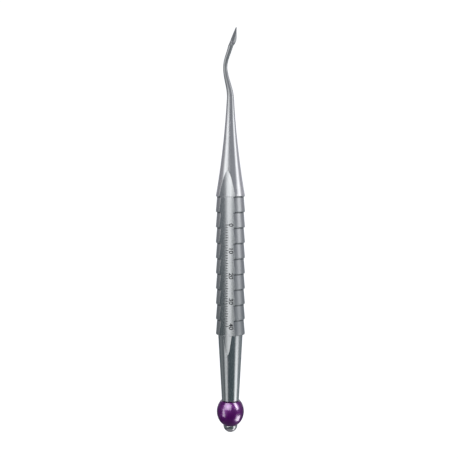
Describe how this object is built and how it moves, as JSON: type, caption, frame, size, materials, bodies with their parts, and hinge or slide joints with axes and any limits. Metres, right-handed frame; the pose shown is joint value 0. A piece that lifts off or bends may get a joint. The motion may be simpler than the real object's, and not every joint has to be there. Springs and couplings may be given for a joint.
{
  "type": "dental elevator",
  "caption": "Slender hand instrument: a bent shank ends in a fine hollow-ground lance blade, on a tapered handle with a scaled satin grip and a clamped coloured ball.",
  "frame": {"origin": "lowest point of the end screw's dome, on the handle's axis", "axes": "+Z along the handle towards the blade; the shank bends towards -X and the blade leans towards +X; -Y is the side of the long ground flute and of the blade's hollow face"},
  "size_m": [0.0116, 0.0113, 0.1606],
  "materials": {
    "polished_steel": "mirror-polished stainless steel",
    "satin_steel": "satin, bead-blasted stainless steel",
    "plain_steel": "plain machined stainless steel",
    "colour_anodised": "glossy purple anodised aluminium",
    "seal_rubber": "black heat-proof rubber",
    "washer_polymer": "dark heat-proof polymer"
  },
  "bodies": {
    "root": {"working_end": "polished_steel", "grip_sleeve": "satin_steel", "tail_cone": "polished_steel", "tie_rod": "plain_steel", "tie_nut": "plain_steel", "lock_washer": "plain_steel", "neck_seal_ring": "seal_rubber", "tail_seal_ring": "seal_rubber", "neck_index_pin": "plain_steel", "tail_index_pin": "plain_steel", "colour_ball": "colour_anodised", "upper_ball_washer": "washer_polymer", "lower_ball_washer": "washer_polymer", "end_screw": "polished_steel"}
  },
  "joints": []
}
